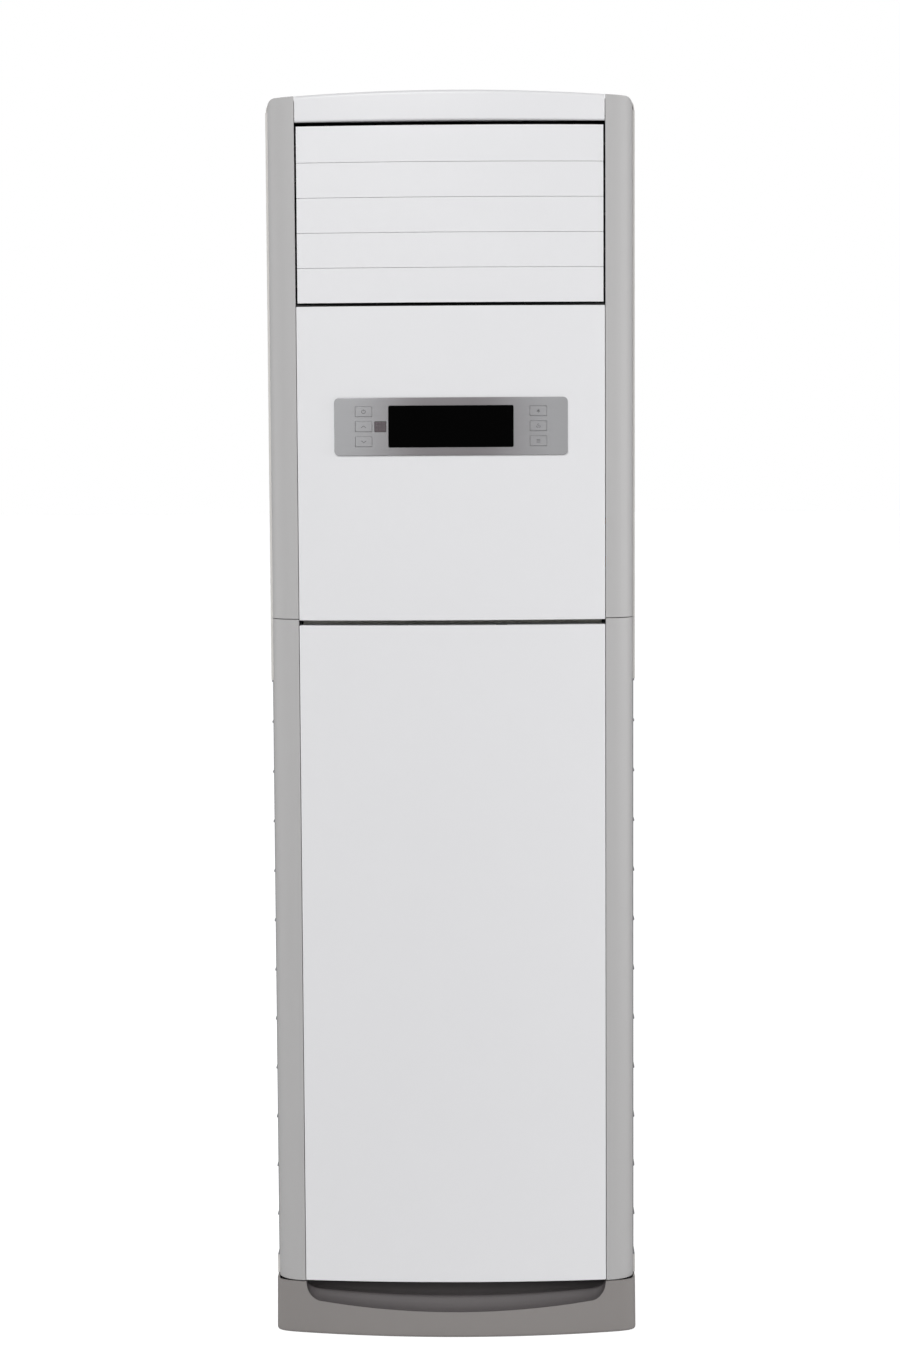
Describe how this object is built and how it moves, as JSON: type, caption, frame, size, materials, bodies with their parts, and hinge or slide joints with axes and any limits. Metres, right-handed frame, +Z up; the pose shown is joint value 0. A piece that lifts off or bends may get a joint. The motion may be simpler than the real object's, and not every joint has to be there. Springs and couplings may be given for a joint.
{
  "type": "floor standing air conditioner",
  "caption": "Tall white cabinet air conditioner with tilting louvres across the top, a display strip with push buttons, grey corner columns and a hinged lower front panel.",
  "frame": {"origin": "on the floor, under the middle of the cabinet's overall box", "axes": "+Z up, -Y out of the white front, +X towards the right-hand side as seen from the front"},
  "size_m": [0.52, 0.328, 1.77],
  "materials": {
    "white_plastic": "smooth white moulding, soft gloss",
    "grey_paint": "silver-grey painted moulding, satin",
    "plinth_plastic": "darker grey moulding, satin",
    "body_steel": "powder-coated sheet, light warm grey",
    "zinc_steel": "galvanised sheet",
    "black_plastic": "matt black moulding",
    "silver_film": "silver printed film, satin",
    "dark_glass": "clear black acrylic, polished",
    "board_green": "circuit board in its holder",
    "coil_aluminium": "fine fins",
    "copper": "drawn copper tube",
    "grey_plastic": "grey moulding",
    "white_foam": "foam-lined plastic tray",
    "wheel_plastic": "dark moulded wheel"
  },
  "bodies": {
    "cabinet": {"base_pan": "zinc_steel", "plinth": "plinth_plastic", "right_lower_column": "grey_paint", "left_lower_column": "grey_paint", "right_upper_column": "grey_paint", "left_upper_column": "grey_paint", "right_side_panel": "body_steel", "left_side_panel": "body_steel", "right_intake_grille": "grey_plastic", "left_intake_grille": "grey_plastic", "rear_panel": "body_steel", "rear_service_panel": "body_steel", "top_cover": "body_steel", "front_cap": "white_plastic", "wall_bracket": "zinc_steel", "upper_front_panel": "white_plastic", "display_bezel": "silver_film", "display_lens": "dark_glass", "receiver_window": "dark_glass", "display_board": "board_green", "outlet_duct": "black_plastic", "louver_motor": "zinc_steel", "vane_motor": "zinc_steel", "deck": "zinc_steel", "drain_pan": "white_foam", "drain_hose": "grey_plastic", "coil": "coil_aluminium", "gas_pipe": "copper", "liquid_pipe": "copper", "filter_holder": "zinc_steel", "scroll_housing": "black_plastic", "scroll_plate": "black_plastic", "fan_motor": "zinc_steel", "electrical_box": "zinc_steel", "box_cover": "zinc_steel", "terminal_block": "black_plastic"},
    "door": {"lower_front_panel": "white_plastic"},
    "filter": {"filter": "grey_plastic"},
    "blower": {"blower_wheel": "wheel_plastic"},
    "louver_1": {"louver_1": "white_plastic"},
    "louver_2": {"louver_2": "white_plastic"},
    "louver_3": {"louver_3": "white_plastic"},
    "louver_4": {"louver_4": "white_plastic"},
    "louver_5": {"louver_5": "white_plastic"},
    "louver_link": {"louver_link": "grey_plastic"},
    "vane_1": {"vane_1": "black_plastic"},
    "vane_2": {"vane_2": "black_plastic"},
    "vane_3": {"vane_3": "black_plastic"},
    "vane_4": {"vane_4": "black_plastic"},
    "vane_5": {"vane_5": "black_plastic"},
    "vane_6": {"vane_6": "black_plastic"},
    "vane_link": {"vane_link": "black_plastic"},
    "button_power": {"button_power": "silver_film"},
    "button_up": {"button_up": "silver_film"},
    "button_down": {"button_down": "silver_film"},
    "button_mode": {"button_mode": "silver_film"},
    "button_fan": {"button_fan": "silver_film"},
    "button_function": {"button_function": "silver_film"}
  },
  "joints": [
    {"name": "louver_1_tilt", "type": "hinge", "parent": "cabinet", "child": "louver_1", "pos_m": [0, -0.131, 1.6967], "axis": [-1, 0, 0], "range_deg": [0, 80]},
    {"name": "louver_2_tilt", "type": "hinge", "parent": "cabinet", "child": "louver_2", "pos_m": [0, -0.131, 1.6481], "axis": [-1, 0, 0], "range_deg": [0, 80]},
    {"name": "louver_3_tilt", "type": "hinge", "parent": "cabinet", "child": "louver_3", "pos_m": [0, -0.131, 1.5995], "axis": [-1, 0, 0], "range_deg": [0, 80]},
    {"name": "louver_4_tilt", "type": "hinge", "parent": "cabinet", "child": "louver_4", "pos_m": [0, -0.131, 1.5509], "axis": [-1, 0, 0], "range_deg": [0, 80]},
    {"name": "louver_5_tilt", "type": "hinge", "parent": "cabinet", "child": "louver_5", "pos_m": [0, -0.131, 1.5023], "axis": [-1, 0, 0], "range_deg": [0, 80]},
    {"name": "louver_link_pivot", "type": "hinge", "parent": "louver_1", "child": "louver_link", "pos_m": [0.2216, -0.117, 1.6967], "axis": [-1, 0, 0], "range_deg": [-80, 0]},
    {"name": "vane_1_swing", "type": "hinge", "parent": "cabinet", "child": "vane_1", "pos_m": [-0.175, -0.078, 1.605], "axis": [0, 0, 1], "range_deg": [-35, 35]},
    {"name": "vane_2_swing", "type": "hinge", "parent": "cabinet", "child": "vane_2", "pos_m": [-0.105, -0.078, 1.605], "axis": [0, 0, 1], "range_deg": [-35, 35]},
    {"name": "vane_3_swing", "type": "hinge", "parent": "cabinet", "child": "vane_3", "pos_m": [-0.035, -0.078, 1.605], "axis": [0, 0, 1], "range_deg": [-35, 35]},
    {"name": "vane_4_swing", "type": "hinge", "parent": "cabinet", "child": "vane_4", "pos_m": [0.035, -0.078, 1.605], "axis": [0, 0, 1], "range_deg": [-35, 35]},
    {"name": "vane_5_swing", "type": "hinge", "parent": "cabinet", "child": "vane_5", "pos_m": [0.105, -0.078, 1.605], "axis": [0, 0, 1], "range_deg": [-35, 35]},
    {"name": "vane_6_swing", "type": "hinge", "parent": "cabinet", "child": "vane_6", "pos_m": [0.175, -0.078, 1.605], "axis": [0, 0, 1], "range_deg": [-35, 35]},
    {"name": "vane_link_pivot", "type": "hinge", "parent": "vane_1", "child": "vane_link", "pos_m": [-0.175, -0.061, 1.605], "axis": [0, 0, 1], "range_deg": [-35, 35]},
    {"name": "door_hinge", "type": "hinge", "parent": "cabinet", "child": "door", "pos_m": [0, -0.143, 1.016], "axis": [-1, 0, 0], "range_deg": [0, 30]},
    {"name": "filter_lift", "type": "slide", "parent": "cabinet", "child": "filter", "axis": [0, 0, 1], "range_m": [0, 0.02]},
    {"name": "blower_spin", "type": "hinge", "parent": "cabinet", "child": "blower", "pos_m": [0, 0.0435, 0.69], "axis": [0, 1, 0], "continuous": true},
    {"name": "power_press", "type": "slide", "parent": "cabinet", "child": "button_power", "axis": [0, 1, 0], "range_m": [0, 0.0005], "stiffness_N_per_m": 2000},
    {"name": "up_press", "type": "slide", "parent": "cabinet", "child": "button_up", "axis": [0, 1, 0], "range_m": [0, 0.0005], "stiffness_N_per_m": 2000},
    {"name": "down_press", "type": "slide", "parent": "cabinet", "child": "button_down", "axis": [0, 1, 0], "range_m": [0, 0.0005], "stiffness_N_per_m": 2000},
    {"name": "mode_press", "type": "slide", "parent": "cabinet", "child": "button_mode", "axis": [0, 1, 0], "range_m": [0, 0.0005], "stiffness_N_per_m": 2000},
    {"name": "fan_press", "type": "slide", "parent": "cabinet", "child": "button_fan", "axis": [0, 1, 0], "range_m": [0, 0.0005], "stiffness_N_per_m": 2000},
    {"name": "function_press", "type": "slide", "parent": "cabinet", "child": "button_function", "axis": [0, 1, 0], "range_m": [0, 0.0005], "stiffness_N_per_m": 2000}
  ],
  "couplings": [
    {"joint": "louver_2_tilt", "follows": "louver_1_tilt", "ratio": 1},
    {"joint": "louver_3_tilt", "follows": "louver_1_tilt", "ratio": 1},
    {"joint": "louver_4_tilt", "follows": "louver_1_tilt", "ratio": 1},
    {"joint": "louver_5_tilt", "follows": "louver_1_tilt", "ratio": 1},
    {"joint": "louver_link_pivot", "follows": "louver_1_tilt", "ratio": -1},
    {"joint": "vane_2_swing", "follows": "vane_1_swing", "ratio": 1},
    {"joint": "vane_3_swing", "follows": "vane_1_swing", "ratio": 1},
    {"joint": "vane_4_swing", "follows": "vane_1_swing", "ratio": 1},
    {"joint": "vane_5_swing", "follows": "vane_1_swing", "ratio": 1},
    {"joint": "vane_6_swing", "follows": "vane_1_swing", "ratio": 1},
    {"joint": "vane_link_pivot", "follows": "vane_1_swing", "ratio": -1}
  ]
}
